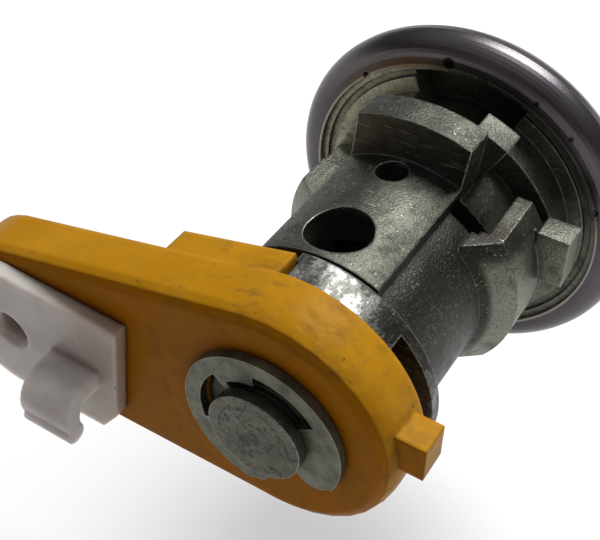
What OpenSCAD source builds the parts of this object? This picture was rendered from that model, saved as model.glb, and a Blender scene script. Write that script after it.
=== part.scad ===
// Car door lock cylinder with its lever and rod clip.
// The lock lies along Y: the key face looks to -Y and the tail to +Y, with +Z up.
// Every shape is drawn as seen from the tail: u to the right, v up and z along the
// lock's axis to the tail, with z = 0 where the cap seats on the door skin.

/* [Cap] */
// Outside diameter of the pressed face cap
cap_d = 44.6; // [44:0.1:48]
// Depth of the cap from its seat to its face
cap_depth = 8.4; // [8.2:0.1:9.4]
// Thickness of the cap's sheet
cap_t = 0.7; // [0.5:0.05:0.8]

/* [Housing] */
// Diameter of the barrel
barrel_d = 23.8; // [23.4:0.1:25]
// Length of the barrel from the seat to its rear end
barrel_len = 29.8; // [29.4:0.1:34]
// Diameter over the hub behind the flange
hub_d = 30.4; // [29.8:0.1:31]
// Diameter over the raised pad and over the driver behind it
pad_d = 28; // [27.6:0.1:28.6]
// Diameter over the high land in front of the pad
land_d = 38.4; // [36:0.2:39]
// Width of the pad
pad_w = 14; // [12:0.2:15]
// Diameter of the large hole in the pad
large_hole_d = 7.4; // [6:0.1:8]
// Diameter of the small hole in the pad
small_hole_d = 3.7; // [3:0.1:4.4]

/* [Cylinder core] */
// Diameter of the core
core_d = 15; // [14.6:0.1:15.4]
// Diameter of the tail shaft
shaft_d = 10.9; // [10.6:0.1:11.2]
// Distance between two wafers
wafer_pitch = 2.4; // [2.2:0.05:2.45]
// Thickness of a wafer
wafer_t = 1; // [0.8:0.05:1.1]

/* [Lever] */
// Thickness of the lever
lever_t = 6.7; // [6:0.1:8]
// Radius of the lever's eye
eye_r = 14.4; // [14.3:0.1:15]
// Distance from the lock's axis to the rod hole
arm_len = 34.9; // [33:0.1:40]
// Diameter of the rod that the clip takes
rod_d = 4; // [3.6:0.1:4.2]

/* [Hidden] */
$fn = 96;
wafer_count = 8;

// Running clearance of a shaft in its hole, and a plain gap between moving faces
run = 0.05;
gap = 0.2;
// A short overlap that fuses two solids of one piece
fuse = 0.5;

// Radii
cap_r = cap_d / 2;
barrel_r = barrel_d / 2;
hub_r = hub_d / 2;
pad_r = pad_d / 2;
land_r = land_d / 2;
core_r = core_d / 2;
shaft_r = shaft_d / 2;
bore_r = core_r + run;

// Cap: the rolled lip is a quarter round that ends in a flat ring on the seat
roll_r = 2.8;
lip_r = cap_r - roll_r;
lip_edge_r = lip_r - 0.7;
face_r = 12;
cap_hole_r = core_r + 0.8;
groove_r = lip_r - 1.5;

// Stations along the axis
flange_z = -cap_t;
hub_z = 3.5;
ring_z = 4.4;
land_z = 7.6;
pad_z = 11.7;
lug_z = 13;
head_z = -4.6;
driver_z = barrel_len + 0.4;
step_z = driver_z + 1.4;
lever_z = driver_z + 3.9;
front_z = lever_z + lever_t;
clip_z = front_z + 0.15;
clip_t = 1.1;
tail_z = clip_z + clip_t + 1.3;

// Pad and land: one block whose sides lean a little, cut to two radii
block_left = -7.7;
block_right = block_left + pad_w - 0.4;
block_lean = 0.12;

// Holes of the pad, drilled towards the axis
hole_turn = 5;
large_hole_z = barrel_len - 4.5;
small_hole_z = 14.2;

// Side lugs of the housing
lug_r = hub_r - 0.2;
lug_top = 9;
lug_bottom = -9;
lug_wall_u = 10.2;
lug_foot_u = 8.4;
cone_z = lug_z + lug_r - barrel_r + 0.4;

// Core: chamber of the shutter, keyway and wafers
face_z = -cap_depth + 0.4;
chamber_z0 = face_z + 1.4;
chamber_z1 = 4.8;
key_w = 2.4;
key_h = 8.8;
flap_top = 4.6;
flap_z = chamber_z0 + 1.15;
flap_pin_r = 0.6;
wafer_z0 = 6.4;
wafer_w = 6;
wafer_h = 12.4;
wafer_move = 0.4;
channel_r = core_r + 1.7;
channel_w = 6.8;
channel_z1 = wafer_z0 + wafer_count * wafer_pitch - 1.4;
stop_z = channel_z1 + 0.2;
stop_t = 1.6;
stop_half = 14;
turn_half = 60;

// Coils round the core in the housing's rear pocket, and round the driver's hub
centring_r = core_r + 2.1;
centring_wire = 0.35;
pocket_z = barrel_len - 2.6;
lever_coil_r = core_r + 1.7;
lever_wire = 0.42;

// Wings that drive the lever, and the lever's play round them
wing_r = core_r - 0.4;
wing_half = 24;
lever_play = 20;
clip_groove_r = shaft_r - 0.95;
clip_r = shaft_r * 1.725;
clip_band_r = clip_r - 1.9;

// Driver's cut-out and tab: both lie in a frame turned by the arm's top face
arm_root_r = 14.2;
arm_end_r = 10.3;
tab_turn = 15;
tab_top = arm_root_r - 0.1;
tab_t = 2.2;
tab_right = 0.7;
tab_left = -14;
tab_z = driver_z + 0.4;
rim_start = 46;
rim_end = tab_turn + 85;
cut_r = tab_top - tab_t - 0.5;

// Lever arm: its end turns round the rod hole
arm_turn = 7.5;
rod_u = -arm_len * cos(arm_turn);
rod_v = -arm_len * sin(arm_turn);
rim_in = 1.8;
rim_deep = 3.2;
bush_r = rod_d / 2 + 2.2;
plate_end_r = 9.1;
plate_reach = 16.9;
rod_hole_r = rod_d / 2 + run;

// Rod clip
plate_z = front_z + 0.1;
plate_t = 1.9;
plate_front = plate_z + plate_t;
hook_len = 7;
hook_u1 = rod_u + plate_reach - 3.3;
hook_u0 = hook_u1 - hook_len;
hook_r = rod_d / 2;
hook_wall = 1.9;
hook_z = plate_front + hook_r + 0.05;
hook_v = rod_v - 3.05;
hook_end = -32;

// Points of an arc in the plane, from angle a to angle b
function arc(cx, cy, r, a, b, n) =
    [for (i = [0:n]) [cx + r * cos(a + (b - a) * i / n), cy + r * sin(a + (b - a) * i / n)]];

// A pie slice from angle a to angle b, wide enough to cut any sector here
module slice(a, b, r, z0, z1) {
    translate([0, 0, z0]) linear_extrude(z1 - z0)
        polygon(concat([[0, 0]], arc(0, 0, r, a, b, ceil((b - a) / 30))));
}

// A sector of a ring between two radii and two stations, with round walls
module ring_sector(r0, r1, z0, z1, a, b) {
    rotate([0, 0, a]) rotate_extrude(angle = b - a)
        translate([r0, z0]) square([r1 - r0, z1 - z0]);
}

module rod(r, z0, z1) {
    translate([0, 0, z0]) cylinder(r = r, h = z1 - z0);
}

module block(u0, u1, v0, v1, z0, z1) {
    translate([u0, v0, z0]) cube([u1 - u0, v1 - v0, z1 - z0]);
}

// Stands the drawing frame up in the part's frame
module place() {
    rotate([90, 0, 180]) children();
}

// A coil spring's wire: a closed tube swept round the z axis
module coil(r, wire, z0, z1, turns, sides = 6, steps = 12) {
    n = ceil(turns * steps);
    rise = z1 - z0 - 2 * wire;
    points = [for (i = [0:n], k = [0:sides - 1])
        let (a = 360 * turns * i / n, t = 360 * k / sides, q = r + wire * cos(t))
        [q * cos(a), q * sin(a), z0 + wire + rise * i / n + wire * sin(t)]];
    walls = [for (i = [0:n - 1], k = [0:sides - 1], half = [0, 1])
        let (j = (k + 1) % sides, a = i * sides, b = a + sides)
        half == 0 ? [a + k, b + k, b + j] : [a + k, b + j, a + j]];
    start = [for (k = [sides - 1:-1:0]) k];
    end = [for (k = [0:sides - 1]) n * sides + k];
    polyhedron(points, concat([start], walls, [end]));
}

// Pressed cap: a shallow dish whose rim is rolled over the flange of the housing
module face_cap() {
    face_drop = cap_depth - roll_r;
    shoulder = [for (a = [80:-10:0])
        [face_r + (cap_r - face_r) * cos(a), -roll_r - face_drop * sin(a)]];
    inner_shoulder = [for (a = [0:10:80])
        [face_r + (cap_r - cap_t - face_r) * cos(a), -roll_r - (face_drop - cap_t) * sin(a)]];
    place() color([0.30, 0.29, 0.31]) difference() {
        rotate_extrude() polygon(concat(
            [[cap_hole_r, -cap_depth], [face_r, -cap_depth]],
            shoulder,
            arc(lip_r, -roll_r, roll_r, 10, 90, 8),
            [[lip_edge_r, 0], [lip_edge_r, -cap_t]],
            arc(lip_r, -roll_r, roll_r - cap_t, 90, 10, 8),
            inner_shoulder,
            [[face_r, cap_t - cap_depth], [cap_hole_r, cap_t - cap_depth]]));
        // Small nicks where the rim was rolled
        for (a = [83, 131, 20])
            rotate([0, 0, a]) translate([lip_edge_r, 0, -cap_t - 0.1]) cylinder(r = 0.6, h = cap_t + 0.2, $fn = 24);
    }
}

// Outline shared by the pad and the land, leaning as the casting's die drew it
module pad_block(r, z0, z1) {
    intersection() {
        rod(r, z0, z1);
        translate([0, 0, z0]) linear_extrude(z1 - z0) polygon([
            [block_left - 7 * block_lean, 5], [block_right - 7 * block_lean, 5],
            [block_right + 8 * block_lean, 20], [block_left + 8 * block_lean, 20]]);
    }
}

// A side lug: a stout wall beside the barrel with a sloping rear end. Its top starts at
// the station from_z, and the wall stands clear of the barrel in a pocket.
module side_lug(top, from_z, pocket) {
    difference() {
        intersection() {
            rotate_extrude() polygon([
                [barrel_r - 1, flange_z - 1], [lug_r, flange_z - 1], [lug_r, lug_z],
                [barrel_r - 0.2, cone_z], [barrel_r - 1, cone_z]]);
            block(lug_foot_u, lug_r + 1, lug_bottom, top, flange_z - 1, cone_z);
        }
        block(lug_foot_u - 1, lug_r + 1, 5.5, lug_top + 1, hub_z, from_z);
        if (pocket) block(lug_foot_u - 1, lug_wall_u, 0, lug_top + 1, hub_z, lug_z - 0.4);
    }
}

// Die-cast housing: flange, hub, barrel, pad and land, with the side lugs
module housing() {
    face_in = -cap_depth + cap_t;
    place() color([0.60, 0.60, 0.56]) difference() {
        union() {
            rotate_extrude() polygon([
                [2, face_in + 0.4], [face_r - 1, face_in + 0.4], [cap_r - 4.9, face_in + 1.1],
                [cap_r - 2.3, -roll_r - 2.2], [cap_r - cap_t - 0.4, -roll_r - 0.6],
                [cap_r - cap_t - 0.5, -roll_r + 0.6], [lip_r + 0.9, flange_z - 0.4],
                [lip_r, flange_z], [hub_r, flange_z], [hub_r, hub_z],
                [barrel_r, hub_z], [barrel_r, barrel_len], [2, barrel_len]]);
            pad_block(pad_r, hub_z, barrel_len);
            pad_block(land_r, land_z, pad_z);
            ring_sector(barrel_r - 1, land_r - 0.4, ring_z, land_z + 0.1, 61, 74);
            ring_sector(barrel_r - 1, hub_r - 0.3, hub_z - 0.1, ring_z + 0.1, 62, 113);
            side_lug(lug_top, 5, true);
            mirror([1, 0, 0]) side_lug(lug_top - 2, 8.5, false);
            // Flash line left round the right lug by the die
            intersection() {
                ring_sector(lug_r - 1, lug_r + 0.15, 6.5, 6.9, -35, 27);
                block(lug_foot_u, lug_r + 1, lug_bottom, lug_top - 0.5, 6, 8);
            }
            // Square lug beside the hub
            block(hub_r - 1.2, 17.8, 0.8, 7.3, hub_z + 0.8, land_z);
        }
        // Bore of the core, its front counterbore and the rear spring pocket
        rod(bore_r, head_z - 1, barrel_len + 1);
        rod(core_r + 1.2, face_in, head_z + 0.1);
        rod(centring_r + 1.2, pocket_z, barrel_len + 1);
        // Channels that take the wafers when the lock is shut
        block(-channel_w / 2, channel_w / 2, -channel_r, channel_r, head_z - 1, channel_z1);
        // Groove that stops the core's turn
        ring_sector(bore_r - 0.5, core_r + 1.3, stop_z - 0.2, stop_z + stop_t + 0.2,
            270 - turn_half - stop_half - 2, 270 + turn_half + stop_half + 2);
        // Deep pocket in the flange and the hub in front of the land
        ring_sector(barrel_r + 0.5, groove_r - 0.1, -4.5, ring_z - 0.1, 64, 112);
        // Ring groove in the flange's rear face
        difference() {
            rod(groove_r, flange_z - 0.5, flange_z + 0.1);
            rod(groove_r - 0.9, flange_z - 1, flange_z + 1);
        }
        // Two holes in the pad
        rotate([0, 0, hole_turn]) {
            translate([0, 0, large_hole_z]) rotate([-90, 0, 0]) cylinder(d = large_hole_d, h = 20);
            translate([0, 0, small_hole_z]) rotate([-90, 0, 0]) cylinder(d = small_hole_d, h = 20);
        }
        // Groove across the barrel at each side of the pad
        ring_sector(barrel_r - 2.6, barrel_r + 1, 10.8, 13.2, 36, 63);
        ring_sector(barrel_r - 2.6, barrel_r + 1, 10.8, 13.2, 128, 144);
    }
}

// Core: head, shutter chamber, keyway, wafer slots, stop, wings and tail shaft
module core() {
    wafer_last = wafer_z0 + (wafer_count - 1) * wafer_pitch;
    place() color([0.55, 0.54, 0.50]) difference() {
        union() {
            rod(core_r + 0.5, face_z, head_z - 1);
            rod(core_r + 1.1, face_z + 0.7, head_z);
            rod(core_r, head_z - 1, driver_z);
            rod(shaft_r, driver_z - 1, tail_z);
            for (a = [0, 180])
                ring_sector(shaft_r - 1, wing_r, driver_z - 1, front_z - 0.3, a - wing_half, a + wing_half);
            ring_sector(core_r - 1, core_r + 1.1, stop_z, stop_z + stop_t, 270 - stop_half, 270 + stop_half);
        }
        // Keyhole, chamber behind it and keyway
        block(-key_w / 2, key_w / 2, -key_h / 2, key_h / 2, face_z - 1, wafer_last + 2);
        block(-2.2, 2.2, -5.3, 5.9, chamber_z0, chamber_z1);
        translate([0, flap_top, flap_z]) rotate([0, 90, 0])
            cylinder(r = flap_pin_r, h = 2 * 3.2, center = true, $fn = 32);
        // Wafer slots, each with a side pocket for its spring
        for (i = [0:wafer_count - 1])
            translate([0, 0, wafer_z0 + i * wafer_pitch]) {
                block(-wafer_w / 2 - run, wafer_w / 2 + run, -core_r - 1, core_r + 1,
                    -wafer_t / 2 - run, wafer_t / 2 + run);
                block(wafer_w / 2 - 0.2, wafer_w / 2 + 2.1, -3.4, 2.6, -0.85, 0.85);
            }
        // Groove of the clip
        difference() {
            rod(shaft_r + 1, clip_z, clip_z + clip_t);
            rod(clip_groove_r, clip_z - 1, clip_z + clip_t + 1);
        }
    }
}

// Driver behind the housing: a disc keyed to the shaft's wings, with a hub and a raised rim
module driver() {
    rim_r = pad_r - 2.6;
    place() color([0.58, 0.58, 0.54]) difference() {
        rotate_extrude() polygon([
            [shaft_r, driver_z], [pad_r, driver_z], [pad_r, lever_z - gap], [rim_r, lever_z - gap],
            [rim_r, step_z], [wing_r + 1.1, step_z], [wing_r + 1.1, lever_z - gap], [shaft_r, lever_z - gap]]);
        for (a = [0, 180])
            ring_sector(shaft_r - 0.5, wing_r, driver_z - 1, lever_z, a - wing_half, a + wing_half);
        // The rim stands only over this sector
        ring_sector(rim_r - 0.4, pad_r + 1, step_z, lever_z + 1, rim_end - 2, rim_start + 360);
        // Cut-out in which the lever's tab plays
        ring_sector(cut_r, pad_r + 2, driver_z - 1, lever_z + 2, rim_end, tab_turn + 162 + lever_play);
    }
}

// The lever's arm in one layer, shrunk by d all round
module arm_layer(d, z0, z1) {
    translate([0, 0, z0]) cylinder(r = arm_root_r - d, h = z1 - z0, $fn = 32);
    translate([rod_u, rod_v, z0]) cylinder(r = arm_end_r - d, h = z1 - z0, $fn = 40);
}

// Moulded lever: an eye with a wide round edge, an arm, a tab and a stop lug
module lever() {
    place() color([0.85, 0.55, 0.10]) difference() {
        union() {
            rotate_extrude() polygon(concat(
                [[2, front_z], [2, lever_z], [eye_r, lever_z]],
                [for (a = [0:10:90])
                    [eye_r - rim_in * (1 - cos(a)), front_z - rim_deep * (1 - sin(a))]]));
            hull() {
                arm_layer(0, lever_z + 0.05, front_z - 1.5);
                arm_layer(0.4, front_z - 0.6, front_z - 0.55);
                arm_layer(1.3, front_z - 0.1, front_z - 0.05);
            }
            rotate([0, 0, tab_turn])
                block(tab_left, tab_right, tab_top - tab_t, tab_top, tab_z, lever_z + 1);
            block(12, 16.8, 0.5, 4.9, lever_z + 1.2, front_z - 1.7);
        }
        // Bearing on the shaft, and room for the wings and their play
        rod(shaft_r + run, lever_z - 1, front_z + 1);
        for (a = [0, 180])
            ring_sector(shaft_r - 0.5, wing_r + 0.3, lever_z - 1, front_z + 1,
                a - wing_half - lever_play - 1, a + wing_half + 1);
        // Relief beside each wing
        for (a = [0, 180])
            ring_sector(shaft_r - 0.5, wing_r + 0.7, front_z - 3, front_z + 1,
                a + wing_half, a + wing_half + 78);
        // Hole for the rod clip's bush
        translate([rod_u, rod_v, 0]) rod(bush_r + run, lever_z - 1, front_z + 1);
    }
}

// Hook of the rod clip: part of a tube that lies along the arm, on a short root
module hook() {
    translate([hook_u0, hook_v, hook_z]) rotate([90, 0, 90])
        rotate_extrude(angle = 90 - hook_end)
            translate([hook_r, 0]) square([hook_wall, hook_u1 - hook_u0]);
    block(hook_u0, hook_u1, hook_v + hook_r, hook_v + hook_r + hook_wall, plate_front - 0.3, hook_z + 0.05);
    // Bead along the hook's free edge
    translate([hook_u0 + 0.2, hook_v, hook_z]) rotate([90, 0, 90]) rotate([0, 0, 90 - hook_end])
        translate([hook_r + hook_wall / 2 + 0.36, 0, 0])
            cylinder(r = hook_wall / 2 + 0.3, h = hook_u1 - hook_u0 - 0.4, $fn = 48);
}

// Nylon rod clip: a plate with a bush through the lever, and a hook that holds the rod
module rod_clip() {
    place() color([0.86, 0.85, 0.86]) difference() {
        union() {
            translate([0, 0, plate_z]) linear_extrude(plate_t) polygon(concat(
                arc(rod_u, rod_v, plate_end_r, 90, 270, 30),
                [[rod_u + plate_reach - 4.3, rod_v - plate_end_r],
                 [rod_u + plate_reach - 2, rod_v - plate_end_r + 3.1],
                 [rod_u + plate_reach, rod_v + plate_end_r - 0.55]]));
            translate([rod_u, rod_v, 0]) rod(bush_r, lever_z - 0.9, plate_z + fuse);
            translate([rod_u, rod_v, 0]) rod(bush_r + 0.5, lever_z - 1.4, lever_z - gap);
            hook();
        }
        translate([rod_u, rod_v, 0]) {
            rod(rod_hole_r, lever_z - 2, plate_front + 1);
            translate([0, 0, plate_front - 0.8])
                cylinder(r1 = rod_hole_r, r2 = rod_hole_r + 0.9, h = 0.9);
        }
    }
}

// Spring-steel retaining clip: a ring with a tongue, two prongs and an open mouth
module e_clip() {
    z0 = clip_z;
    z1 = clip_z + clip_t - run;
    tongue = 117;
    place() color([0.62, 0.63, 0.60]) difference() {
        rod(clip_r, z0, z1);
        rod(clip_groove_r, z0 - 1, z1 + 1);
        // Openings at each side of the tongue
        for (side = [-1, 1])
            ring_sector(clip_groove_r - 1, clip_band_r, z0 - 1, z1 + 1,
                tongue + side * 51.5 - 31, tongue + side * 51.5 + 31);
        // The tongue touches the shaft over a short width only
        ring_sector(clip_groove_r - 1, shaft_r + 0.8, z0 - 1, z1 + 1, tongue - 21, tongue + 13);
        // Mouth, with rounded prong ends
        difference() {
            slice(tongue + 180 - 36, tongue + 180 + 36, 20, z0 - 1, z1 + 1);
            for (side = [-1, 1])
                rotate([0, 0, tongue + 180 + side * 37]) translate([(clip_r + clip_groove_r) / 2, 0, 0])
                    rod(2.1, z0 - 2, z1 + 2);
        }
    }
}

// Two loose coils in the rear pocket of the housing bring the core back to the middle
module centring_spring() {
    place() color([0.35, 0.27, 0.22])
        coil(centring_r, centring_wire, pocket_z, barrel_len - gap / 2, 2, 8, 28);
}

// Coils between the driver and the lever hold the lever's tab against the driver
module lever_spring() {
    place() color([0.35, 0.22, 0.16])
        coil(lever_coil_r, lever_wire, step_z, lever_z - gap, 1.5, 8, 28);
}

// Flap behind the keyhole, hung on its pin
module shutter() {
    place() color([0.66, 0.66, 0.66]) difference() {
        union() {
            block(-2, 2, -4.9, flap_top, flap_z - 0.95, flap_z - 0.15);
            translate([-2, flap_top, flap_z]) rotate([0, 90, 0]) cylinder(r = 1.1, h = 2, $fn = 48);
        }
        translate([0, flap_top, flap_z]) rotate([0, 90, 0])
            cylinder(r = flap_pin_r + run, h = 10, center = true, $fn = 48);
        block(0.05, 3, flap_top - 1.3, flap_top + 1, flap_z - 2, flap_z + 2);
    }
}

module shutter_pin() {
    place() color([0.72, 0.72, 0.72]) translate([0, flap_top, flap_z]) rotate([0, 90, 0])
        cylinder(r = flap_pin_r, h = 6.4, center = true, $fn = 32);
}

module shutter_spring() {
    place() color([0.4, 0.4, 0.4]) translate([0.25, flap_top, flap_z]) rotate([0, 90, 0])
        coil(flap_pin_r + 0.22, 0.2, 0, 1.8, 4, 6, 12);
}

// Wafer: a thin plate with the key's window and an ear for its spring
module wafer(i) {
    lift = [0, 0.5, -0.4, 0.3, -0.6, 0.6, -0.2, 0.4][i];
    z0 = wafer_z0 + i * wafer_pitch - wafer_t / 2;
    place() color([0.75, 0.62, 0.30]) difference() {
        union() {
            block(-wafer_w / 2, wafer_w / 2, -wafer_h / 2, wafer_h / 2, z0, z0 + wafer_t);
            block(wafer_w / 2 - fuse, wafer_w / 2 + 1.6, 1.1, 2, z0, z0 + wafer_t);
        }
        block(-1.5, 1.5, lift - 3.4, lift + 3.4, z0 - 1, z0 + 2);
    }
}

module wafer_spring(i) {
    place() color([0.45, 0.45, 0.45])
        translate([wafer_w / 2 + 1.15, -3.4, wafer_z0 + i * wafer_pitch]) rotate([-90, 0, 0])
            coil(0.5, 0.13, 0, 4.5, 5, 5, 8);
}

face_cap();
housing();
core();
driver();
lever();
rod_clip();
e_clip();
centring_spring();
lever_spring();
shutter();
shutter_pin();
shutter_spring();
for (i = [1:wafer_count]) {
    wafer(i - 1);
    wafer_spring(i - 1);
}
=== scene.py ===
# %% [markdown]
# # Car door lock cylinder
# The real lock is a die-cast zinc barrel behind a dark pressed cap. Its tail carries an
# orange lever, a nylon clip for the operating rod and a spring-steel retaining clip.
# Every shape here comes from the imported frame, so this lesson is about surfaces: how to
# make cast zinc, moulded plastic and plated steel out of noise, distance and light.

# %% Load the frame
import math

import bpy
import numpy as np
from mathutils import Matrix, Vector


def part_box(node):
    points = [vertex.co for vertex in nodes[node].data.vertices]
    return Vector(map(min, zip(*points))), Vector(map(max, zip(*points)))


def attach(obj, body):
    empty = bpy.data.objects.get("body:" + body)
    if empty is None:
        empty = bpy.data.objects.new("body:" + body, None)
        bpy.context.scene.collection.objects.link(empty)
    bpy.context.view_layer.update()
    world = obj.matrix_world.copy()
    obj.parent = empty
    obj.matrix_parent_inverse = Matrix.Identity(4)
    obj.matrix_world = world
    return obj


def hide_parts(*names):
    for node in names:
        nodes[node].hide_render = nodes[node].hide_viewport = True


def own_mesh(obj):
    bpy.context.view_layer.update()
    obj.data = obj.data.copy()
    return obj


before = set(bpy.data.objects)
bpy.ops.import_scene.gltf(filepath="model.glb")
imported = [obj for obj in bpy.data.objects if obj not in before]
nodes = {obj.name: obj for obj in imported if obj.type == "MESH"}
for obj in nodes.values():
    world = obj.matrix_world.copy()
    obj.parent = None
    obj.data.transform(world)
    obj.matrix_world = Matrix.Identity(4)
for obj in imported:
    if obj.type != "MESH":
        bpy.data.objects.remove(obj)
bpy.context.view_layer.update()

MM_PER_M = 1000.0

# %% [markdown]
# ## The camera comes first
# Everything is judged from where the photo was taken: above and behind the lock's tail.
# Circles of the lock show as ellipses in the photo, and the camera that turns the one
# into the other was worked out from them.

# %% Camera
CAMERA_TURN, CAMERA_RISE = math.radians(212.45), math.radians(43.73)
CAMERA_PLACE = (-0.0385, 0.09512, 0.08485)
SENSOR_WIDTH, LENS = 36.0, 63.2
NEAREST, FARTHEST = 0.005, 10.0

scene = bpy.context.scene
camera_data = bpy.data.cameras.new("camera")
camera_data.sensor_width = SENSOR_WIDTH
camera_data.lens = LENS
camera_data.clip_start, camera_data.clip_end = NEAREST, FARTHEST
camera = bpy.data.objects.new("camera", camera_data)
backwards = Vector((
    math.sin(CAMERA_TURN) * math.cos(CAMERA_RISE),
    -math.cos(CAMERA_TURN) * math.cos(CAMERA_RISE),
    math.sin(CAMERA_RISE)))
camera.location = CAMERA_PLACE
camera.rotation_mode = "QUATERNION"
camera.rotation_quaternion = (-backwards).to_track_quat("-Z", "Y")
scene.collection.objects.link(camera)
scene.camera = camera
print("camera distance in mm:", round(MM_PER_M * camera.location.length, 1))

# %% [markdown]
# ## A small language for shader graphs
# A mask is easier to read as a sum than as a web of nodes. `Sock` wraps one output of a
# shader node, and arithmetic on it adds the Math nodes. `Graph` makes every other kind of
# node through one method: its type, its settings, then what goes into its sockets.

# %% Sockets with arithmetic


class Sock:
    """One number that changes over a surface."""

    def __init__(self, graph, out):
        self.graph, self.out = graph, out

    def _math(self, op, *values):
        return self.graph.wrap(self.graph.node("Math", {"operation": op}, dict(enumerate(values))))

    def __add__(self, other):
        return self._math("ADD", self, other)

    def __radd__(self, other):
        return self._math("ADD", other, self)

    def __sub__(self, other):
        return self._math("SUBTRACT", self, other)

    def __rsub__(self, other):
        return self._math("SUBTRACT", other, self)

    def __mul__(self, other):
        return self._math("MULTIPLY", self, other)

    def __rmul__(self, other):
        return self._math("MULTIPLY", other, self)

    def root(self):
        return self._math("SQRT", self)

    def sine(self):
        return self._math("SINE", self)

    def larger(self, other):
        return self._math("MAXIMUM", self, other)

    def smaller(self, other):
        return self._math("MINIMUM", self, other)

    def ramp(self, low, high, start=0.0, end=1.0):
        """Runs smoothly from start to end while the value goes from low to high."""
        made = self.graph.node("MapRange", {"interpolation_type": "SMOOTHSTEP"}, {
            "Value": self, "From Min": low, "From Max": high, "To Min": start, "To Max": end})
        return self.graph.wrap(made)

    def fade(self, low, high):
        """Runs smoothly from 1 down to 0 while the value goes from low to high."""
        return self.ramp(low, high, 1.0, 0.0)


class Graph:
    """A node tree, and the one method that adds a node to it."""

    def __init__(self, tree):
        self.tree = tree

    def node(self, kind, settings=None, sockets=None):
        """Adds a node of one kind: its settings first, then what goes into its sockets."""
        made = self.tree.nodes.new("ShaderNode" + kind)
        for key, value in (settings or {}).items():
            setattr(made, key, value)
        for key, value in (sockets or {}).items():
            self.plug(value, made.inputs[key])
        return made

    def plug(self, value, socket):
        """Links an output to a socket, or sets the socket to a number or a colour."""
        if isinstance(value, Sock):
            value = value.out
        if isinstance(value, bpy.types.NodeSocket):
            self.tree.links.new(value, socket)
        elif isinstance(value, (tuple, list)) and socket.type == "RGBA":
            socket.default_value = (*value, 1.0)
        else:
            socket.default_value = value

    def wrap(self, made, output=0):
        """One output of a node, ready for arithmetic."""
        return Sock(self, made.outputs[output])

    def shown(self):
        """1 for what the camera, a reflection or glass shows, 0 for what lights a surface."""
        ray = self.node("LightPath")
        kinds = (self.wrap(ray, f"Is {kind} Ray") for kind in ("Camera", "Glossy", "Transmission"))
        return sum(kinds, 0.0).smaller(1.0)

    def mix(self, mask, a, b):
        """Colour a where the mask is 0, colour b where it is 1."""
        made = self.node("Mix", {"data_type": "RGBA"}, {0: mask, 6: a, 7: b})
        return self.wrap(made, 2)


# %% [markdown]
# ## Patterns that a workshop surface is made of
# `Surface` is one material. Its patterns read Object coordinates in millimetres, so a
# size in the code is a size on the metal. Noise gives clouds, grain and specks, stretched
# noise gives scratches, ambient occlusion finds the corners that get painted shade, and the
# Bevel node finds the edges that wear bright.

# %% One material and its patterns


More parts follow.
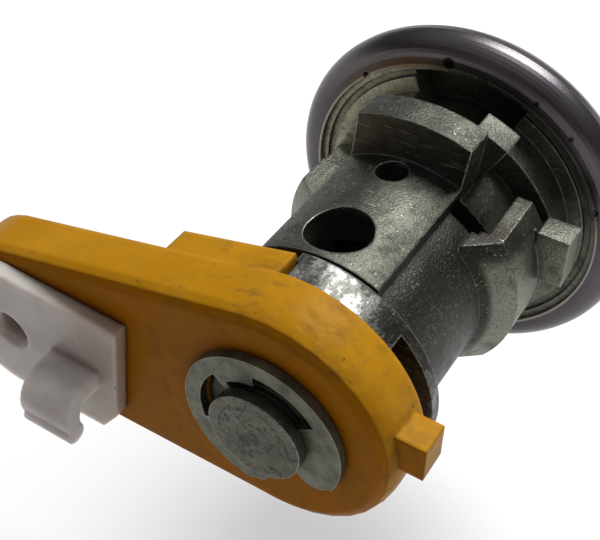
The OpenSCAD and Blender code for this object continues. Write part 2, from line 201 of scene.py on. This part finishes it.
class Surface(Graph):
    """A material: coordinates in mm, patterns, and a Principled shader."""

    def __init__(self, name):
        self.mat = bpy.data.materials.new(name)
        self.mat.use_nodes = True
        super().__init__(self.mat.node_tree)
        self.tree.nodes.clear()
        self.shader = self.node("BsdfPrincipled")
        self.end = self.node("OutputMaterial", None, {"Surface": self.shader.outputs[0]})
        coord = self.node("TexCoord")
        self.mm = self.node("VectorMath", {"operation": "SCALE"}, {
            0: coord.outputs["Object"], "Scale": MM_PER_M}).outputs[0]
        parts = self.node("SeparateXYZ", None, {0: self.mm})
        self.x, self.y, self.z = (self.wrap(parts, i) for i in range(3))
        self.axis_distance = (self.x * self.x + self.z * self.z).root()

    def stretched(self, turn, stretch):
        """Coordinates turned by Euler angles in degrees, then stretched."""
        return self.node("Mapping", None, {
            "Vector": self.mm, "Rotation": [math.radians(a) for a in turn], "Scale": stretch}).outputs[0]

    def noise(self, size, detail=3.0, rough=0.55, at=None, seed=0.0):
        """Clouds about size mm across, from 0 to 1 round a mean of a half."""
        return self.wrap(self.node("TexNoise", {"noise_dimensions": "4D"}, {
            "Vector": at or self.mm, "W": seed, "Scale": 1.0 / size, "Detail": detail, "Roughness": rough}))

    def cells(self, size):
        """Crystals about size mm across: the distance in each and a grey for each."""
        made = self.node("TexVoronoi", None, {"Vector": self.mm, "Scale": 1.0 / size})
        grey = self.node("SeparateColor", None, {0: made.outputs["Color"]})
        return self.wrap(made, "Distance"), self.wrap(grey)

    def crevice(self, reach):
        """1 in the open and 0 deep in a corner, looking reach mm away."""
        made = self.node("AmbientOcclusion", {"samples": 8}, {"Distance": reach / MM_PER_M})
        return self.wrap(made, "AO")

    def tailward(self):
        """How squarely a face looks along the lock's axis to the tail, from -1 to 1."""
        parts = self.node("SeparateXYZ", None, {0: self.node("NewGeometry").outputs["Normal"]})
        return self.wrap(parts, 1)

    def rounded(self, radius):
        """The normal as if the edges were rounded by radius mm."""
        return self.node("Bevel", {"samples": 6}, {"Radius": radius / MM_PER_M}).outputs[0]

    def edge(self, radius):
        """How far the rounded normal turns from the true one: 0 on a flat."""
        true = self.node("NewGeometry").outputs["Normal"]
        dot = self.node("VectorMath", {"operation": "DOT_PRODUCT"}, {0: self.rounded(radius), 1: true})
        return 1.0 - self.wrap(dot, "Value")

    def spot(self, x, y, z, radius, soft=0.5):
        """1 at a point, and 0 from radius mm on."""
        dx, dy, dz = self.x - x, self.y - y, self.z - z
        distance = (dx * dx + dy * dy + dz * dz).root()
        return distance.fade(radius * (1 - soft), radius)

    def scratches(self, turn, size, long, low, high, seed=0.0):
        """Thin broken lines along one direction: noise pulled long times its width."""
        line = self.noise(size, 2.0, 0.6, at=self.stretched(turn, (1.0 / long, 1.0, 1.0)), seed=seed)
        return line.ramp(low, high)

    def relief(self, height, depth, round_edges):
        """A bump depth mm deep over edges rounded by round_edges mm."""
        return self.node("Bump", None, {
            "Height": height, "Distance": depth / MM_PER_M, "Strength": 1.0,
            "Normal": self.rounded(round_edges)}).outputs[0]

    def finish(self, color, rough, metal=0.0, normal=None, **fixed):
        """Plugs in what changes over the surface, and sets what stays the same all over it."""
        self.plug(color, self.shader.inputs["Base Color"])
        self.plug(rough, self.shader.inputs["Roughness"])
        self.plug(metal, self.shader.inputs["Metallic"])
        if normal is not None:
            self.plug(normal, self.shader.inputs["Normal"])
        for key, value in fixed.items():
            self.shader.inputs[key.replace("_", " ")].default_value = value
        print(self.mat.name, "has", len(self.tree.nodes), "nodes")
        return self.mat


# %% [markdown]
# ## Die-cast zinc
# Molten zinc is shot into a steel mould and freezes at once, so its skin has a fine grain
# that sparkles, and faint marks where the metal flowed. Part of that sparkle is a painted
# highlight on the grain. In a door it turns dull: grease sits in its corners and on the
# handled barrel, painted shade darkens the corners and the hollows, and knocks and
# scratches show bright. The grain could be modelled, but at 0.3 mm it is finer than a mesh
# should be, so it is a bump.

# %% Zinc
BRIGHT_ZINC = (0.50, 0.50, 0.46)
GREASE_AND_SHADE = (0.016, 0.013, 0.010)


def zinc(name, tone, scratch_turn, grime_and_shade, depth, details=None, scratched=0.6):
    """Cast zinc of one tone, its grain depth mm deep. scratched is how bright its scratches
    are, and details adds what one piece alone has."""
    skin = Surface(name)
    cloud = skin.noise(4.5, detail=5.0, rough=0.62, seed=1.0)
    along_flow = skin.stretched((0, 0, 12), (1.0, 0.3, 1.0))
    flow = skin.noise(1.3, detail=4.0, rough=0.65, at=along_flow, seed=3.0)
    crystal, crystal_grey = skin.cells(0.24)
    along_grain = skin.stretched((0, 0, 15), (1.0, 0.5, 1.0))
    grain = skin.noise(0.26, detail=4.0, rough=0.75, at=along_grain, seed=5.0)
    cuts = skin.scratches((20, 35, 15), 0.16, long=20.0, low=0.62, high=0.7, seed=2.0)
    cuts = cuts.larger(skin.scratches(scratch_turn, 0.14, long=26.0, low=0.63, high=0.71, seed=8.0))
    cuts = cuts * skin.noise(3.2, detail=2.0, rough=0.5, seed=9.0).ramp(0.4, 0.58)
    rubbed = skin.noise(0.9, detail=3.0, rough=0.6, seed=6.0).ramp(0.32, 0.55)
    worn = skin.edge(0.3).ramp(0.02, 0.2) * rubbed
    # Painted shade: the corners that ambient occlusion finds are darkened, broken up by noise, where grease
    # sits too, and the deep hollows are darkened with painted shade alone.
    corner = skin.crevice(2.4).fade(0.3, 0.85)
    hollow_shade = skin.crevice(9.0).fade(0.12, 0.5)
    darkening = corner * skin.noise(1.2, detail=4.0, rough=0.65, seed=4.0).ramp(0.25, 0.6, 0.5, 1.0) * grime_and_shade
    darkening = darkening.larger(hollow_shade * grime_and_shade)
    stain = skin.noise(2.6, detail=5.0, rough=0.7, seed=12.0).ramp(0.5, 0.66) * 0.55
    specks = skin.noise(0.42, detail=2.0, rough=0.6, seed=7.0).ramp(0.68, 0.76) * 0.85
    # Painted highlight: the grain is painted lighter in patches, as if it caught the lamp.
    painted_glint = grain.ramp(0.56, 0.7) * cloud.ramp(0.4, 0.62)
    dark, pale = [0.3 * c for c in tone], [1.3 * c for c in tone]
    base = skin.mix(cloud.ramp(0.3, 0.7), [0.62 * c for c in tone], tone)
    base = skin.mix(flow.ramp(0.35, 0.75) * 0.5, base, pale)
    height = grain * 0.8 + flow * 0.12 + crystal * 0.3 - cuts * 0.5 - specks * 0.6
    if details:
        base, height = details(skin, base, height)
    base = skin.mix(grain.fade(0.32, 0.5) * 0.75, base, dark)
    base = skin.mix(crystal_grey * 0.3 + stain * 0.7, base, dark)
    # Real wear and scratches, and the painted highlight, all lighten towards bright zinc.
    base = skin.mix((worn * 0.6 + cuts * scratched + painted_glint * 0.4).smaller(0.9), base, BRIGHT_ZINC)
    # Grease and painted shade go into the corners and the hollows here.
    base = skin.mix(darkening, base, GREASE_AND_SHADE)
    base = skin.mix(specks, base, GREASE_AND_SHADE)
    rough = grain * 0.3 + 0.26 + darkening * 0.3 + stain * 0.25 - cuts * 0.1
    metal = (darkening + specks).ramp(0.0, 1.0, 0.96, 0.2)
    return skin.finish(base, rough, metal, skin.relief(height, depth, 0.35))


# %% [markdown]
# ## The housing
# Its lugs, and one side of its flange, kept the pale greenish skin of the casting, because
# nothing rubs there, and they are painted lighter still as painted light. The barrel is
# nearly black on the side that grease ran down, which is painted shade as well. Both are
# masks on place: how far from the lock's axis, how far along it, and on which side.

# %% Housing and driver
LIT_FLANGE_SKIN = (0.40, 0.41, 0.32)
POLISHED_ZINC_SHEEN = (0.28, 0.28, 0.265)


def housing_details(skin, base, height):
    """Pale skin on the flange's bare side and the lugs with painted light, grease and painted shade down
    the barrel's other side.
    """
    # Painted light on the pale skin: the flange is lighter towards +X, the lugs a little lighter.
    lugs = skin.axis_distance.ramp(12.4, 13.2) * skin.z.fade(6.0, 8.0)
    flange = skin.y.fade(4.0, 7.0) * skin.x.ramp(-3.0, 7.0, 0.12, 1.0)
    base = skin.mix(flange.larger(lugs * 0.4), base, LIT_FLANGE_SKIN)
    # Grease and painted shade: the barrel is darker on its -X side, beyond y 8 mm, but not on the lugs.
    shaded_greasy_side = skin.x.fade(-8.0, -2.0) * skin.y.ramp(8.0, 11.0) * (1.0 - lugs)
    return skin.mix(shaded_greasy_side * 0.75, base, GREASE_AND_SHADE), height


def driver_details(skin, base, height):
    """Rubbed bright in patches that are also a painted reflection, and smeared dark between them."""
    along_wear = skin.stretched((0, 30, 0), (1.0, 0.6, 1.0))
    patch = skin.noise(4.2, detail=3.0, rough=0.6, at=along_wear, seed=21.0)
    fleck = skin.noise(0.5, detail=3.0, rough=0.7, seed=22.0) * 0.24 + patch - 0.12
    # Painted reflection with rubbed zinc: the bright patches stand for the lamp's streaks on the collar.
    base = skin.mix(fleck.ramp(0.51, 0.58), base, POLISHED_ZINC_SHEEN)
    return skin.mix(fleck.fade(0.42, 0.48) * 0.85, base, GREASE_AND_SHADE), height


zinc_housing = zinc(
    "zinc_casting", tone=(0.088, 0.090, 0.073), scratch_turn=(65, 20, 70), grime_and_shade=0.9, depth=0.07,
    details=housing_details)
zinc_driver = zinc(
    "zinc_driver", tone=(0.10, 0.10, 0.09), scratch_turn=(10, 85, 40), grime_and_shade=0.8, depth=0.03,
    details=driver_details)

# %% [markdown]
# ## The core's tail
# The tail's end was hammered and then rubbed, which left broken rings, fine cracks and
# dark pits. A sine of the distance from the axis gives the rings, the line where a noise
# crosses its mean gives the cracks, and more noise breaks both up.

# %% Core
TAIL_FACE_Y = 43.1
RING_PACE, CRACK_CUTOFF = 3.1, 0.0005


def tail_details(skin, base, height):
    """Broken rings, cracks and pits on the end face alone."""
    face = skin.y.ramp(TAIL_FACE_Y - 0.1, TAIL_FACE_Y + 0.1)
    radius = skin.axis_distance + skin.noise(1.6, detail=2.0, rough=0.5, seed=15.0) * 0.9
    ring = (radius * RING_PACE).sine().ramp(0.9, 0.99)
    ring = ring * skin.noise(1.6, detail=3.0, rough=0.6, seed=16.0).ramp(0.46, 0.58)
    crack = skin.noise(2.2, detail=3.0, rough=0.6, seed=18.0) - 0.5
    crack = (crack * crack).fade(0.0, CRACK_CUTOFF)
    crack = crack * skin.noise(2.6, detail=2.0, rough=0.5, seed=19.0).ramp(0.5, 0.56)
    ring = ring.larger(crack)
    pit = skin.noise(0.9, detail=3.0, rough=0.65, seed=17.0).ramp(0.59, 0.64)
    base = skin.mix(face * (ring + pit).smaller(0.95), base, GREASE_AND_SHADE)
    return base, height - face * (ring + pit) * 0.6


zinc_core = zinc(
    "zinc_tail", tone=(0.13, 0.13, 0.098), scratch_turn=(0, 80, 30), grime_and_shade=0.7, depth=0.04,
    details=tail_details, scratched=0.2)

# %% [markdown]
# ## The orange lever
# It is moulded acetal: a little translucent, dulled by age, and soft enough for grease to
# be rubbed into it where the collar passes. Subsurface scattering gives the depth. Spots
# placed in millimetres put the rubbed grease and the chip where the real one has them. The
# face that looks to the tail is painted a deeper orange than the top, as painted shade, and
# its corners are darkened with painted shade.

# %% Lever
ORANGE_DEEP, ORANGE = (0.33, 0.150, 0.004), (0.40, 0.190, 0.009)
ORANGE_DULL, ORANGE_SHADED = (0.31, 0.155, 0.018), (0.31, 0.108, 0.0)
RUBBED_IN, CHIP_DIRT_AND_SHADE = (0.08, 0.05, 0.018), (0.045, 0.02, 0.006)


def lever_plastic():
    """Aged orange acetal with grease rubbed in."""
    skin = Surface("orange_acetal")
    cloud = skin.noise(9.0, detail=3.0, rough=0.5, seed=1.0)
    mottle = skin.noise(1.6, detail=4.0, rough=0.6, seed=2.0)
    fine = skin.noise(0.25, detail=3.0, rough=0.6, seed=3.0)
    along_smear = skin.stretched((0, 10, 40), (0.5, 1.3, 1.0))
    smear = skin.noise(1.5, detail=5.0, rough=0.7, at=along_smear, seed=4.0)
    rubbed = skin.spot(4.0, 37.0, 14.0, radius=9.0, soft=0.8)
    rubbed = rubbed.larger(skin.spot(-5.0, 38.5, 12.5, radius=7.0, soft=0.8) * 0.8)
    rubbed = rubbed.larger(skin.spot(12.0, 39.5, 12.0, radius=3.0, soft=0.7))
    darkening = rubbed * smear.ramp(0.5, 0.62)
    patch = skin.noise(6.0, detail=2.0, rough=0.5, seed=5.0).ramp(0.5, 0.65)
    thin = smear.ramp(0.62, 0.74) * patch * 0.6
    ragged = skin.noise(0.35, detail=2.0, rough=0.6, seed=6.0).ramp(0.4, 0.55)
    chip = skin.spot(11.3, 40.0, 12.4, radius=0.9, soft=0.6) * ragged
    pits = skin.noise(0.4, detail=1.0, rough=0.5, seed=7.0).ramp(0.74, 0.8)
    # Painted shade: the corners that ambient occlusion finds are darkened, along with the real chip and
    # pits.
    corner = skin.crevice(1.5).fade(0.3, 0.85) * 0.6
    base = skin.mix(cloud.ramp(0.3, 0.7), ORANGE_DEEP, ORANGE)
    base = skin.mix(mottle.ramp(0.4, 0.8) * 0.3, base, ORANGE_DULL)
    # Painted shade: the face that looks to the tail is painted a deeper orange.
    base = skin.mix(skin.tailward().ramp(0.5, 0.95) * 0.85, base, ORANGE_SHADED)
    blot = mottle.ramp(0.45, 0.62) * cloud.ramp(0.42, 0.6) * 0.22
    base = skin.mix((darkening * 0.38 + thin + blot).smaller(0.7), base, RUBBED_IN)
    base = skin.mix((chip + pits * 0.8 + corner).smaller(0.9), base, CHIP_DIRT_AND_SHADE)
    height = fine * 0.25 + mottle * 0.5 - (pits + chip) * 0.9
    return skin.finish(
        base, mottle * 0.14 + 0.30 + darkening * 0.25, 0.0, skin.relief(height, 0.03, 0.75),
        Subsurface_Weight=0.08, Subsurface_Radius=(1.0, 0.35, 0.08), Subsurface_Scale=0.0012,
        Specular_IOR_Level=0.03)


# %% [markdown]
# ## The nylon rod clip
# Natural nylon is milky: light goes in and comes out again some millimetres away. So it
# has much more scattering than the lever, and hardly any pattern. The plate is painted warm
# where the orange lever lies behind it, as painted orange light from the lever, and its
# corners are darkened with painted shade.

# %% Rod clip
NYLON_SHADE, NYLON, NYLON_CORNER_SHADE = (0.49, 0.475, 0.44), (0.60, 0.59, 0.56), (0.45, 0.36, 0.32)
PAINTED_LEVER_GLOW, SPECK = (0.42, 0.34, 0.27), (0.05, 0.03, 0.02)


def nylon():
    """Milky plastic with painted shade in its corners, painted orange light near the lever and two dark
    specks.
    """
    skin = Surface("natural_nylon")
    cloud = skin.noise(4.0, detail=3.0, rough=0.5, seed=1.0)
    fine = skin.noise(0.3, detail=3.0, rough=0.6, seed=2.0)
    specks = skin.noise(0.55, detail=1.0, rough=0.4, seed=3.0).ramp(0.77, 0.8)
    specks = specks.larger(skin.spot(18.9, 42.9, -5.0, radius=0.28, soft=0.3))
    specks = specks.larger(skin.spot(21.1, 44.6, -10.0, radius=0.3, soft=0.3))
    corner = skin.crevice(1.6).fade(0.3, 0.9)
    base = skin.mix(cloud.ramp(0.3, 0.7), NYLON_SHADE, NYLON)
    # Painted light: the plate is tinted orange near the lever, as light from the lever would tint it.
    base = skin.mix(skin.y.fade(42.0, 44.0) * skin.x.ramp(20.0, 30.0, 1.0, 0.35), base, PAINTED_LEVER_GLOW)
    # Painted shade: the corners that ambient occlusion finds are darkened.
    base = skin.mix(corner * 0.45, base, NYLON_CORNER_SHADE)
    base = skin.mix(specks * 0.9, base, SPECK)
    return skin.finish(
        base, fine * 0.1 + 0.32, 0.0, skin.relief(fine + cloud, 0.02, 0.8),
        Subsurface_Weight=1.0, Subsurface_Radius=(1.0, 0.8, 0.75), Subsurface_Scale=0.003)


# %% [markdown]
# ## The retaining clip
# It is stamped from spring steel and zinc plated with a passivated finish, which is where
# its olive tint comes from. Rust has started in small specks, and where they are it is no
# longer a metal to the shader.

# %% Clip steel
OLIVE_DARK, OLIVE, OLIVE_GRAIN = (0.075, 0.078, 0.056), (0.185, 0.19, 0.14), (0.05, 0.052, 0.038)
BARE_STEEL, RUST = (0.7, 0.7, 0.66), (0.05, 0.045, 0.035)


def plated_steel():
    """Olive plating, scratched, worn at its edges and specked with rust."""
    skin = Surface("plated_steel")
    cloud = skin.noise(2.2, detail=4.0, rough=0.6, seed=1.0)
    fine = skin.noise(0.2, detail=3.0, rough=0.6, seed=2.0)
    specks = skin.noise(0.42, detail=2.0, rough=0.6, seed=3.0).ramp(0.64, 0.7)
    cuts = skin.scratches((30, 40, 0), 0.12, long=30.0, low=0.68, high=0.76, seed=4.0)
    worn = skin.edge(0.25).ramp(0.05, 0.3)
    base = skin.mix(cloud.ramp(0.3, 0.7), OLIVE_DARK, OLIVE)
    base = skin.mix(fine.fade(0.35, 0.55) * 0.5, base, OLIVE_GRAIN)
    base = skin.mix(cuts * 0.6 + worn * 0.4, base, BARE_STEEL)
    base = skin.mix(specks * 0.85, base, RUST)
    rough = fine * 0.15 + 0.36 + specks * 0.2
    metal = specks.ramp(0.0, 1.0, 0.8, 0.2)
    return skin.finish(base, rough, metal, skin.relief(fine + cloud - specks, 0.015, 0.1))


# %% [markdown]
# ## The face cap
# A dark satin coat over pressed steel. It is smooth enough to carry a soft streak of the
# lamp along its roll. Inside the rolled lip the coat is rubbed through to a brownish grey,
# and three nicks in the lip are painted as dark spots.

# %% Cap
LIP_EDGE = 19.05
SATIN_DARK, SATIN = (0.085, 0.078, 0.085), (0.11, 0.10, 0.105)
RUBBED_LIP, SCUFFED = (0.36, 0.34, 0.30), (0.2, 0.19, 0.19)


def cap_coat():
    """Dark satin coat, rubbed through inside the lip."""
    skin = Surface("cap_satin")
    cloud = skin.noise(7.0, detail=3.0, rough=0.5, seed=1.0)
    fine = skin.noise(0.18, detail=2.0, rough=0.6, seed=2.0)
    worn = skin.edge(0.5).ramp(0.08, 0.35) * skin.noise(0.9, detail=3.0, rough=0.6, seed=3.0).ramp(0.4, 0.6)
    scuff = skin.scratches((0, 30, 60), 0.25, long=14.0, low=0.66, high=0.76, seed=4.0) * 0.5
    inner = skin.axis_distance.fade(LIP_EDGE - 0.1, LIP_EDGE + 0.1) * skin.y.ramp(-1.2, -0.3)
    base = skin.mix(cloud.ramp(0.3, 0.7), SATIN_DARK, SATIN)
    base = skin.mix(inner * 0.8 + worn * 0.6, base, RUBBED_LIP)
    base = skin.mix(scuff, base, SCUFFED)
    nicks = skin.spot(2.1, 0.0, 19.5, radius=0.8, soft=0.2)
    for x, z in ((-8.8, 18.0), (-13.4, 15.0)):
        nicks = nicks.larger(skin.spot(x, 0.0, z, radius=0.4, soft=0.4))
    base = skin.mix(nicks, base, GREASE_AND_SHADE)
    return skin.finish(base, cloud * 0.1 + fine * 0.06 + 0.24, 0.9, skin.relief(fine, 0.008, 0.15))


# %% [markdown]
# ## The hidden small parts
# Springs, wafers and the shutter show only through gaps, or when the lock is turned or
# taken apart. One recipe with a colour and a roughness serves drawn wire, polished steel
# and brass.

# %% Springs, shutter and wafers


def plain_metal(name, color, rough):
    """Metal of one colour with fine scratches and a little painted shade in its corners."""
    skin = Surface(name)
    cloud = skin.noise(1.4, detail=4.0, rough=0.6, seed=1.0)
    fine = skin.noise(0.12, detail=3.0, rough=0.6, seed=2.0)
    cuts = skin.scratches((0, 25, 70), 0.1, long=24.0, low=0.66, high=0.76, seed=3.0) * 0.5
    # Painted shade: the corners that ambient occlusion finds are darkened.
    darkening = skin.crevice(0.8).fade(0.3, 0.85) * 0.4
    base = skin.mix(cloud.ramp(0.3, 0.7), [0.8 * c for c in color], color)
    base = skin.mix(cuts, base, [1.5 * c for c in color])
    base = skin.mix(darkening, base, GREASE_AND_SHADE)
    return skin.finish(base, fine * 0.12 + rough, 0.95, skin.relief(fine + cloud, 0.01, 0.05))


spring_wire = plain_metal("spring_wire", color=(0.12, 0.075, 0.055), rough=0.38)
shutter_steel = plain_metal("satin_steel", color=(0.52, 0.52, 0.53), rough=0.3)
brass = plain_metal("stamped_brass", color=(0.62, 0.44, 0.17), rough=0.28)

# %% [markdown]
# ## The springs' coils
# The CAD coils are coarse, and a coil that gets shorter can't be a rigid solid. So each
# spring is made again as a helix with a circle carried along it, and each wafer's spring
# gets a mesh of its own. A real one grows when the wafer slides up, but its slot hides
# that.

# %% Coils
TURN_STEPS, WIRE_SIDES = 48, 12
X, Y, Z = np.eye(3)


def coil(node, body, wire, turns, outward, sideways, along):
    """A spring of round wire that fills the node's box. A point at angle a round the helix
    and t round the wire lies at the middle + (radius + wire cos t)(cos a outward + sin a
    sideways) + (rise (a / last a - 1/2) + wire sin t) along. wire is the wire's radius in mm."""
    low, high = (MM_PER_M * np.array(corner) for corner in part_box(node))
    middle, half = (low + high) / 2, (high - low) / 2
    radius, rise = abs(half @ outward) - wire, 2 * abs(half @ along) - 2 * wire
    a = np.linspace(0, 2 * np.pi * turns, round(TURN_STEPS * turns) + 1)[:, None, None]
    t = np.linspace(0, 2 * np.pi, WIRE_SIDES, endpoint=False)[None, :, None]
    reach = radius + wire * np.cos(t)
    points = middle + reach * (np.cos(a) * outward + np.sin(a) * sideways)
    points = points + (rise * (a / a.max() - 0.5) + wire * np.sin(t)) * along
    index = np.arange(points[..., 0].size).reshape(points.shape[:2])
    here, there = index[:-1], index[1:]
    quads = np.stack([here, there, np.roll(there, -1, 1), np.roll(here, -1, 1)], -1).reshape(-1, 4)
    mesh = bpy.data.meshes.new(node + "_coil")
    mesh.from_pydata(
        (points.reshape(-1, 3) / MM_PER_M).tolist(), [],
        quads.tolist() + [index[0].tolist(), index[-1][::-1].tolist()])
    mesh.materials.append(spring_wire)
    made = bpy.data.objects.new(node + "_coil", mesh)
    scene.collection.objects.link(made)
    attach(made, body)
    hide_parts(node)
    return made


coils = [
    coil("centring_spring", "lock_body", wire=0.35, turns=2, outward=-X, sideways=Z, along=Y),
    coil("lever_spring", "core", wire=0.42, turns=1.5, outward=-X, sideways=Z, along=Y),
    coil("shutter_spring", "core", wire=0.2, turns=4, outward=-Y, sideways=Z, along=-X),
]
print("coils:", [piece.name for piece in coils])

# %% Wafer springs
WAFERS = range(1, 9)

for i in WAFERS:
    name = f"wafer_spring_{i}"
    piece = coil(name, "core", wire=0.13, turns=5, outward=-X, sideways=-Y, along=Z)
    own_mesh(piece)
    coils.append(piece)
print("coils:", len(coils))

# %% [markdown]
# ## Which piece wears what
# A node's name says what it is, so the springs, the wafers and the shutter's pieces are
# found by their names. Each entry also holds a slot name, which nothing here uses. The
# spring nodes are dressed too, although their coils stand for them.

# %% Dress the nodes
looks = {
    "face_cap": (cap_coat(), "cap"),
    "lever": (lever_plastic(), "lever_plastic"),
    "rod_clip": (nylon(), "nylon"),
    "e_clip": (plated_steel(), "clip_steel"),
    "housing": (zinc_housing, "zinc"),
    "driver": (zinc_driver, "zinc"),
    "core": (zinc_core, "zinc_core"),
}
for name in nodes:
    if "spring" in name:
        looks[name] = (spring_wire, "spring_steel")
    elif name.startswith("shutter"):
        looks[name] = (shutter_steel, "shutter_steel")
    elif name.startswith("wafer"):
        looks[name] = (brass, "wafer_brass")
for name, (material, slot) in looks.items():
    nodes[name].data.materials.clear()
    nodes[name].data.materials.append(material)
print("dressed:", len(looks), "of", len(nodes))

# %% [markdown]
# ## Smooth shading
# The round faces came as flat strips. Where two strips meet at less than 32 degrees the
# light should run across, and any sharper edge is a real one and stays crisp.

# %% Smooth by angle
SHARP_FROM = math.radians(32)

for node in [*nodes.values(), *coils]:
    mesh = node.data
    mesh.polygons.foreach_set("use_smooth", np.ones(len(mesh.polygons), bool))
    mesh.update()
    with bpy.context.temp_override(object=node, active_object=node, selected_objects=[node]):
        bpy.ops.object.shade_smooth_by_angle(angle=SHARP_FROM)
print("triangles of the solids:", sum(len(node.data.polygons) for node in nodes.values()))

# %% [markdown]
# ## The floor
# The photo's background is white. The floor lies where the lever's arm still clears it
# when the lock is turned all the way. It gives off some of the white that the camera and
# the metal see, more of it far away, which lightens the lock's shadow and leaves no
# horizon, and doesn't light the lock.

# %% Floor
FLOOR_SIZE, FLOOR_CLEARANCE = 4.0, 0.0015
FLOOR_NEAR, FLOOR_FAR, NEAR_GLOW = 100.0, 420.0, 0.5
FLOOR_PALE, WHITE = (0.84, 0.84, 0.84), (1.0, 1.0, 1.0)

arm_reach = math.hypot(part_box("lever")[1].x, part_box("lever")[0].z)
bpy.ops.mesh.primitive_plane_add(size=FLOOR_SIZE, location=(0, 0, -arm_reach - FLOOR_CLEARANCE))
floor = bpy.context.object
floor.name = "floor"
pale = Surface("floor_pale")
pale.finish(FLOOR_PALE, 0.8)
distance = (pale.x * pale.x + pale.y * pale.y).root()
white = pale.node("Emission", None, {"Color": WHITE, "Strength": 1.0})
both = pale.node("MixShader", None, {
    0: pale.shown() * distance.ramp(FLOOR_NEAR, FLOOR_FAR, NEAR_GLOW, 1.0),
    1: pale.shader.outputs[0], 2: white.outputs[0]})
pale.plug(both.outputs[0], pale.end.inputs["Surface"])
floor.data.materials.append(pale.mat)
print("floor at", round(MM_PER_M * floor.location.z, 1), "mm")

# %% [markdown]
# ## The room
# Metal shows what stands round it. The zinc and the cap in the photo show a bright
# ceiling over a dim room that is dark red on the camera's side. So the world is those
# three tones, blended by direction. Below them is a white band at the height of the
# horizon, which the camera and the metal see as one with the floor.

# %% World
CEILING, ROOM, DARK_RED = (0.45, 0.457, 0.475), (0.065, 0.065, 0.068), (0.094, 0.016, 0.022)

world = bpy.data.worlds.new("world")
world.use_nodes = True
sky = Graph(world.node_tree)
direction = sky.node("SeparateXYZ", None, {0: sky.node("TexCoord").outputs["Generated"]})
towards_camera, upwards = sky.wrap(direction, 1), sky.wrap(direction, 2)
room = sky.mix(towards_camera.ramp(0.3, 0.9), ROOM, DARK_RED)
room = sky.mix(upwards.ramp(0.35, 0.95), room, CEILING)
room = sky.mix(sky.shown() * upwards.fade(0.08, 0.2), room, WHITE)
sky.plug(room, world.node_tree.nodes["Background"].inputs["Color"])
scene.world = world
print("world nodes:", len(world.node_tree.nodes))

# %% [markdown]
# ## The lamp
# One broad lamp high over the cap's side. Its size sets how soft the streak on the cap
# and the shadow on the floor are.

# %% Lamp


def lamp(name, place, aim, size, watts):
    """A round lamp at a place, turned to what it lights. All lengths are in metres."""
    data = bpy.data.lights.new(name, "AREA")
    data.shape, data.size, data.energy = "DISK", size, watts
    made = bpy.data.objects.new(name, data)
    made.location = place
    made.rotation_mode = "QUATERNION"
    made.rotation_quaternion = (Vector(aim) - Vector(place)).to_track_quat("-Z", "Y")
    scene.collection.objects.link(made)
    print(name, "at", [round(MM_PER_M * c) for c in place], "mm")


lamp("overhead", place=(-0.05, -0.24, 0.42), aim=(0.0, 0.02, 0.0), size=0.30, watts=3.6)

scene.view_settings.view_transform = "Standard"
